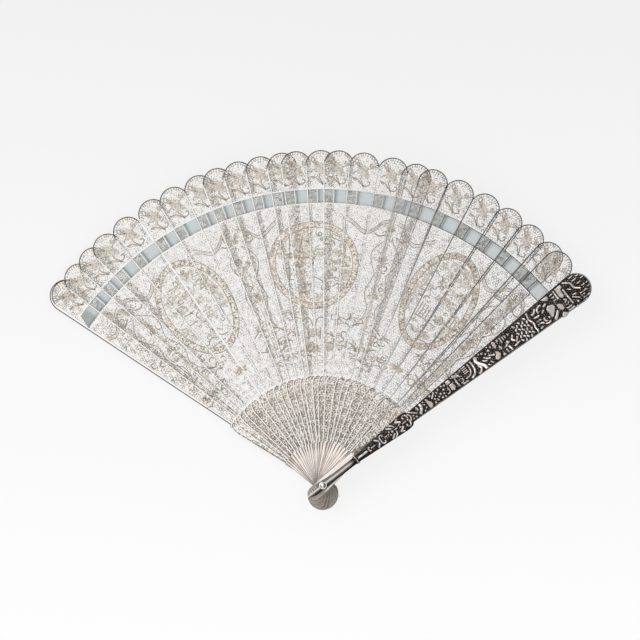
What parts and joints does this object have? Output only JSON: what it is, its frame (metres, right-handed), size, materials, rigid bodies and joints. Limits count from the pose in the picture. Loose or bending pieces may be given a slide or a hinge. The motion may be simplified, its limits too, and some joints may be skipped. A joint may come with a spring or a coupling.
{
  "type": "folding fan",
  "caption": "Folding brise fan of pierced silver filigree sticks between two relief guards, turning on one rivet and held at their spread by a silk ribbon.",
  "frame": {"origin": "on the rivet's axis, at the rivet's flat rear end, in the plane that the fan lies on", "axes": "+Z along the rivet towards the front guard, +Y up the middle of the open fan, +X towards the front guard's side"},
  "size_m": [0.2974, 0.198, 0.0236],
  "materials": {
    "filigree_silver": "soldered silver wire, lightly tarnished, with warm gilt sprays",
    "plain_silver": "polished silver with fine rubbing marks",
    "relief_silver": "cast and chased silver, dark in the recesses and bright on the high points",
    "silk": "pale blue-grey silk ribbon"
  },
  "bodies": {
    "rear_guard": {"rear_guard_plate": "plain_silver", "rear_guard_cover": "relief_silver", "rivet_pin": "plain_silver", "rear_washer": "plain_silver", "front_washer": "plain_silver", "ribbon": "silk"},
    "front_guard": {"front_guard_plate": "plain_silver", "front_guard_cover": "relief_silver"},
    "stick_01": {"stick_01": "filigree_silver"},
    "stick_02": {"stick_02": "filigree_silver"},
    "stick_03": {"stick_03": "filigree_silver"},
    "stick_04": {"stick_04": "filigree_silver"},
    "stick_05": {"stick_05": "filigree_silver"},
    "stick_06": {"stick_06": "filigree_silver"},
    "stick_07": {"stick_07": "filigree_silver"},
    "stick_08": {"stick_08": "filigree_silver"},
    "stick_09": {"stick_09": "filigree_silver"},
    "stick_10": {"stick_10": "filigree_silver"},
    "stick_11": {"stick_11": "filigree_silver"},
    "stick_12": {"stick_12": "filigree_silver"},
    "stick_13": {"stick_13": "filigree_silver"},
    "stick_14": {"stick_14": "filigree_silver"},
    "stick_15": {"stick_15": "filigree_silver"},
    "stick_16": {"stick_16": "filigree_silver"},
    "stick_17": {"stick_17": "filigree_silver"},
    "stick_18": {"stick_18": "filigree_silver"},
    "stick_19": {"stick_19": "filigree_silver"},
    "stick_20": {"stick_20": "filigree_silver"},
    "stick_21": {"stick_21": "filigree_silver"},
    "stick_22": {"stick_22": "filigree_silver"},
    "stick_23": {"stick_23": "filigree_silver"},
    "stick_24": {"stick_24": "filigree_silver"},
    "stick_25": {"stick_25": "filigree_silver"}
  },
  "joints": [
    {"name": "fan_fold", "type": "hinge", "parent": "rear_guard", "child": "front_guard", "pos_m": [0, 0, 0.0115], "axis": [0, 0, 1], "range_deg": [0, 105.8], "deforming": ["ribbon"]},
    {"name": "stick_01_turn", "type": "hinge", "parent": "rear_guard", "child": "stick_01", "pos_m": [0, 0, 0.0115], "axis": [0, 0, 1], "range_deg": [0, 0.2]},
    {"name": "stick_02_turn", "type": "hinge", "parent": "rear_guard", "child": "stick_02", "pos_m": [0, 0, 0.0115], "axis": [0, 0, 1], "range_deg": [0, 3.92]},
    {"name": "stick_03_turn", "type": "hinge", "parent": "rear_guard", "child": "stick_03", "pos_m": [0, 0, 0.0115], "axis": [0, 0, 1], "range_deg": [0, 7.85]},
    {"name": "stick_04_turn", "type": "hinge", "parent": "rear_guard", "child": "stick_04", "pos_m": [0, 0, 0.0115], "axis": [0, 0, 1], "range_deg": [0, 11.37]},
    {"name": "stick_05_turn", "type": "hinge", "parent": "rear_guard", "child": "stick_05", "pos_m": [0, 0, 0.0115], "axis": [0, 0, 1], "range_deg": [0, 16.1]},
    {"name": "stick_06_turn", "type": "hinge", "parent": "rear_guard", "child": "stick_06", "pos_m": [0, 0, 0.0115], "axis": [0, 0, 1], "range_deg": [0, 21.62]},
    {"name": "stick_07_turn", "type": "hinge", "parent": "rear_guard", "child": "stick_07", "pos_m": [0, 0, 0.0115], "axis": [0, 0, 1], "range_deg": [0, 26.04]},
    {"name": "stick_08_turn", "type": "hinge", "parent": "rear_guard", "child": "stick_08", "pos_m": [0, 0, 0.0115], "axis": [0, 0, 1], "range_deg": [0, 30.97]},
    {"name": "stick_09_turn", "type": "hinge", "parent": "rear_guard", "child": "stick_09", "pos_m": [0, 0, 0.0115], "axis": [0, 0, 1], "range_deg": [0, 34.49]},
    {"name": "stick_10_turn", "type": "hinge", "parent": "rear_guard", "child": "stick_10", "pos_m": [0, 0, 0.0115], "axis": [0, 0, 1], "range_deg": [0, 38.42]},
    {"name": "stick_11_turn", "type": "hinge", "parent": "rear_guard", "child": "stick_11", "pos_m": [0, 0, 0.0115], "axis": [0, 0, 1], "range_deg": [0, 42.44]},
    {"name": "stick_12_turn", "type": "hinge", "parent": "rear_guard", "child": "stick_12", "pos_m": [0, 0, 0.0115], "axis": [0, 0, 1], "range_deg": [0, 46.36]},
    {"name": "stick_13_turn", "type": "hinge", "parent": "rear_guard", "child": "stick_13", "pos_m": [0, 0, 0.0115], "axis": [0, 0, 1], "range_deg": [0, 48.89]},
    {"name": "stick_14_turn", "type": "hinge", "parent": "rear_guard", "child": "stick_14", "pos_m": [0, 0, 0.0115], "axis": [0, 0, 1], "range_deg": [0, 53.31]},
    {"name": "stick_15_turn", "type": "hinge", "parent": "rear_guard", "child": "stick_15", "pos_m": [0, 0, 0.0115], "axis": [0, 0, 1], "range_deg": [0, 56.54]},
    {"name": "stick_16_turn", "type": "hinge", "parent": "rear_guard", "child": "stick_16", "pos_m": [0, 0, 0.0115], "axis": [0, 0, 1], "range_deg": [0, 61.06]},
    {"name": "stick_17_turn", "type": "hinge", "parent": "rear_guard", "child": "stick_17", "pos_m": [0, 0, 0.0115], "axis": [0, 0, 1], "range_deg": [0, 66.28]},
    {"name": "stick_18_turn", "type": "hinge", "parent": "rear_guard", "child": "stick_18", "pos_m": [0, 0, 0.0115], "axis": [0, 0, 1], "range_deg": [0, 70.61]},
    {"name": "stick_19_turn", "type": "hinge", "parent": "rear_guard", "child": "stick_19", "pos_m": [0, 0, 0.0115], "axis": [0, 0, 1], "range_deg": [0, 73.73]},
    {"name": "stick_20_turn", "type": "hinge", "parent": "rear_guard", "child": "stick_20", "pos_m": [0, 0, 0.0115], "axis": [0, 0, 1], "range_deg": [0, 78.76]},
    {"name": "stick_21_turn", "type": "hinge", "parent": "rear_guard", "child": "stick_21", "pos_m": [0, 0, 0.0115], "axis": [0, 0, 1], "range_deg": [0, 83.98]},
    {"name": "stick_22_turn", "type": "hinge", "parent": "rear_guard", "child": "stick_22", "pos_m": [0, 0, 0.0115], "axis": [0, 0, 1], "range_deg": [0, 88.8]},
    {"name": "stick_23_turn", "type": "hinge", "parent": "rear_guard", "child": "stick_23", "pos_m": [0, 0, 0.0115], "axis": [0, 0, 1], "range_deg": [0, 93.63]},
    {"name": "stick_24_turn", "type": "hinge", "parent": "rear_guard", "child": "stick_24", "pos_m": [0, 0, 0.0115], "axis": [0, 0, 1], "range_deg": [0, 98.25]},
    {"name": "stick_25_turn", "type": "hinge", "parent": "rear_guard", "child": "stick_25", "pos_m": [0, 0, 0.0115], "axis": [0, 0, 1], "range_deg": [0, 100.58]}
  ],
  "couplings": [
    {"joint": "stick_01_turn", "follows": "fan_fold", "ratio": 0.00189},
    {"joint": "stick_02_turn", "follows": "fan_fold", "ratio": 0.037088},
    {"joint": "stick_03_turn", "follows": "fan_fold", "ratio": 0.074177},
    {"joint": "stick_04_turn", "follows": "fan_fold", "ratio": 0.10748},
    {"joint": "stick_05_turn", "follows": "fan_fold", "ratio": 0.15214},
    {"joint": "stick_06_turn", "follows": "fan_fold", "ratio": 0.20435},
    {"joint": "stick_07_turn", "follows": "fan_fold", "ratio": 0.24616},
    {"joint": "stick_08_turn", "follows": "fan_fold", "ratio": 0.2927},
    {"joint": "stick_09_turn", "follows": "fan_fold", "ratio": 0.32601},
    {"joint": "stick_10_turn", "follows": "fan_fold", "ratio": 0.3631},
    {"joint": "stick_11_turn", "follows": "fan_fold", "ratio": 0.40113},
    {"joint": "stick_12_turn", "follows": "fan_fold", "ratio": 0.43822},
    {"joint": "stick_13_turn", "follows": "fan_fold", "ratio": 0.46208},
    {"joint": "stick_14_turn", "follows": "fan_fold", "ratio": 0.50389},
    {"joint": "stick_15_turn", "follows": "fan_fold", "ratio": 0.53437},
    {"joint": "stick_16_turn", "follows": "fan_fold", "ratio": 0.57713},
    {"joint": "stick_17_turn", "follows": "fan_fold", "ratio": 0.6265},
    {"joint": "stick_18_turn", "follows": "fan_fold", "ratio": 0.66737},
    {"joint": "stick_19_turn", "follows": "fan_fold", "ratio": 0.6969},
    {"joint": "stick_20_turn", "follows": "fan_fold", "ratio": 0.74438},
    {"joint": "stick_21_turn", "follows": "fan_fold", "ratio": 0.79376},
    {"joint": "stick_22_turn", "follows": "fan_fold", "ratio": 0.83936},
    {"joint": "stick_23_turn", "follows": "fan_fold", "ratio": 0.88495},
    {"joint": "stick_24_turn", "follows": "fan_fold", "ratio": 0.92866},
    {"joint": "stick_25_turn", "follows": "fan_fold", "ratio": 0.95062}
  ]
}
